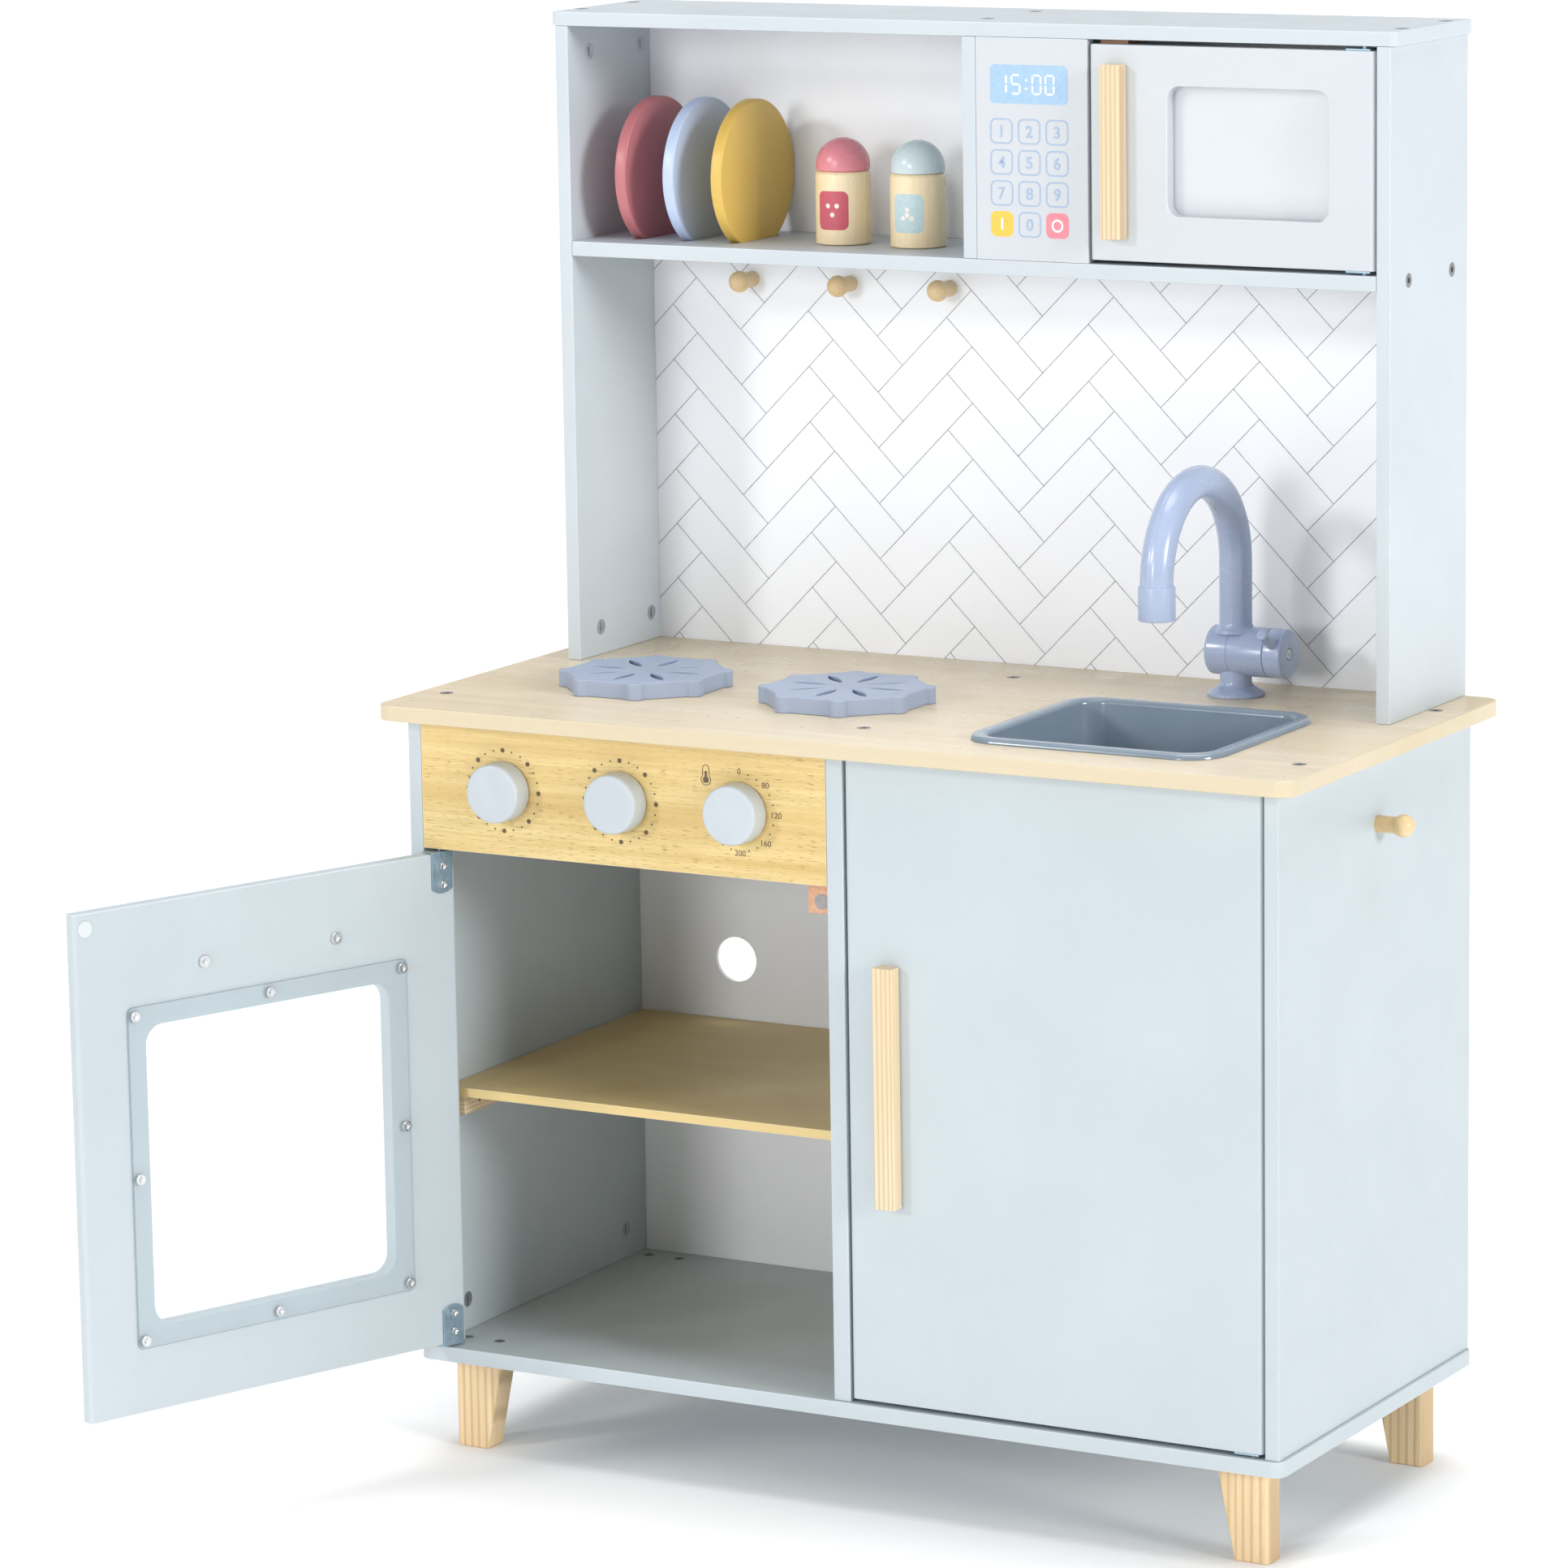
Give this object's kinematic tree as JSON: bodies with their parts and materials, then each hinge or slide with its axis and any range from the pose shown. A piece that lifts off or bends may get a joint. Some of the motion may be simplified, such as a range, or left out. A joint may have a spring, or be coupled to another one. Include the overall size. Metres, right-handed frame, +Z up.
{
  "type": "toy kitchen",
  "caption": "Free-standing wooden play kitchen: base cabinet with oven and cupboard, worktop with sink, lever tap and burners, and a hutch with a shelf, microwave, pegs and play tableware.",
  "frame": {"origin": "on the floor, under the middle of the base cabinet, in the plane of the four feet's undersides", "axes": "+X to the right as seen from the front, +Y to the back towards the wall, +Z up"},
  "size_m": [0.7086, 0.5501, 0.902],
  "materials": {
    "mint_board": "satin painted board",
    "white_board": "satin painted board",
    "worktop_board": "board with a pale wood grain",
    "oak_board": "board with a pale oak grain",
    "pine": "oiled pine",
    "beech": "turned beech",
    "zinc": "zinc plated",
    "magnet": "nickel plated",
    "white_plastic": "matt",
    "acrylic": "clear acrylic",
    "knob_plastic": "satin",
    "blue_grey_plastic": "gloss",
    "red_paint": "satin painted wood",
    "blue_paint": "satin painted wood",
    "yellow_paint": "satin painted wood",
    "pink_paint": "gloss painted wood",
    "mint_paint": "gloss painted wood"
  },
  "bodies": {
    "kitchen_frame": {"bottom_panel": "mint_board", "left_side_panel": "mint_board", "right_side_panel": "mint_board", "divider_panel": "mint_board", "worktop": "worktop_board", "control_panel": "oak_board", "lower_back_panel": "white_board", "oven_shelf": "oak_board", "shelf_battens": "pine", "catch_blocks": "pine", "catch_magnets": "magnet", "feet": "pine", "foot_screws": "zinc", "panel_bolts": "zinc", "barrel_nuts": "zinc", "burners": "blue_grey_plastic", "underside_screws": "zinc", "sink_basin": "blue_grey_plastic", "tap_left_shell": "blue_grey_plastic", "tap_right_shell": "blue_grey_plastic", "hutch_left_panel": "white_board", "hutch_right_panel": "white_board", "hutch_top": "white_board", "hutch_shelf": "white_board", "hutch_divider": "white_board", "microwave_key_panel": "white_board", "upper_back_panel": "white_board", "tiled_back_panel": "white_board", "hanging_pegs": "pine"},
    "oven_door_body": {"oven_door": "mint_board", "oven_door_pane": "acrylic", "oven_door_handle": "pine", "oven_catch_disc": "white_plastic", "oven_hinge_plates": "zinc", "oven_door_screws": "zinc"},
    "cabinet_door_body": {"cabinet_door": "mint_board", "cabinet_door_handle": "pine", "cabinet_catch_disc": "white_plastic", "cabinet_hinge_plates": "zinc", "cabinet_door_screws": "zinc"},
    "microwave_door_body": {"microwave_door": "white_board", "microwave_door_pane": "acrylic", "microwave_door_handle": "pine", "microwave_catch_disc": "white_plastic", "microwave_hinge_plates": "zinc", "microwave_door_screws": "zinc"},
    "left_knob_body": {"knob_left": "knob_plastic"},
    "middle_knob_body": {"knob_middle": "knob_plastic"},
    "right_knob_body": {"knob_right": "knob_plastic"},
    "tap_valve_body": {"tap_cap": "blue_grey_plastic", "tap_lever": "blue_grey_plastic", "tap_cap_screw": "zinc"},
    "red_plate_body": {"plate_red": "red_paint"},
    "blue_plate_body": {"plate_blue": "blue_paint"},
    "yellow_plate_body": {"plate_yellow": "yellow_paint"},
    "red_shaker_body": {"shaker_red_body": "beech", "shaker_red_cap": "pink_paint"},
    "mint_shaker_body": {"shaker_mint_body": "beech", "shaker_mint_cap": "mint_paint"}
  },
  "joints": [
    {"name": "oven_door_hinge", "type": "hinge", "parent": "kitchen_frame", "child": "oven_door_body", "pos_m": [-0.2812, -0.13525, 0.231], "axis": [0, 0, 1], "range_deg": [-9, 111]},
    {"name": "cabinet_door_hinge", "type": "hinge", "parent": "kitchen_frame", "child": "cabinet_door_body", "pos_m": [0.2812, -0.13525, 0.272], "axis": [0, 0, 1], "range_deg": [0, 120]},
    {"name": "microwave_door_hinge", "type": "hinge", "parent": "kitchen_frame", "child": "microwave_door_body", "pos_m": [0.2717, 0.04375, 0.824], "axis": [0, 0, 1], "range_deg": [0, 120]},
    {"name": "left_knob_turn", "type": "hinge", "parent": "kitchen_frame", "child": "left_knob_body", "pos_m": [-0.23045, -0.147, 0.4332], "axis": [0, 1, 0], "continuous": true},
    {"name": "middle_knob_turn", "type": "hinge", "parent": "kitchen_frame", "child": "middle_knob_body", "pos_m": [-0.14595, -0.147, 0.4332], "axis": [0, 1, 0], "continuous": true},
    {"name": "right_knob_turn", "type": "hinge", "parent": "kitchen_frame", "child": "right_knob_body", "pos_m": [-0.06145, -0.147, 0.4332], "axis": [0, 1, 0], "range_deg": [0, 180]},
    {"name": "tap_lever_turn", "type": "hinge", "parent": "kitchen_frame", "child": "tap_valve_body", "pos_m": [0.1908, 0.097, 0.512], "axis": [1, 0, 0], "range_deg": [-45, 30]},
    {"name": "red_plate_lift", "type": "slide", "parent": "kitchen_frame", "child": "red_plate_body", "axis": [0, -0.9397, 0.342], "range_m": [0, 0.33]},
    {"name": "blue_plate_lift", "type": "slide", "parent": "kitchen_frame", "child": "blue_plate_body", "axis": [0, -0.9397, 0.342], "range_m": [0, 0.33]},
    {"name": "yellow_plate_lift", "type": "slide", "parent": "kitchen_frame", "child": "yellow_plate_body", "axis": [0, -0.9397, 0.342], "range_m": [0, 0.33]},
    {"name": "red_shaker_lift", "type": "slide", "parent": "kitchen_frame", "child": "red_shaker_body", "axis": [0, -0.9962, 0.0872], "range_m": [0, 0.33]},
    {"name": "mint_shaker_lift", "type": "slide", "parent": "kitchen_frame", "child": "mint_shaker_body", "axis": [0, -0.9962, 0.0872], "range_m": [0, 0.33]}
  ]
}
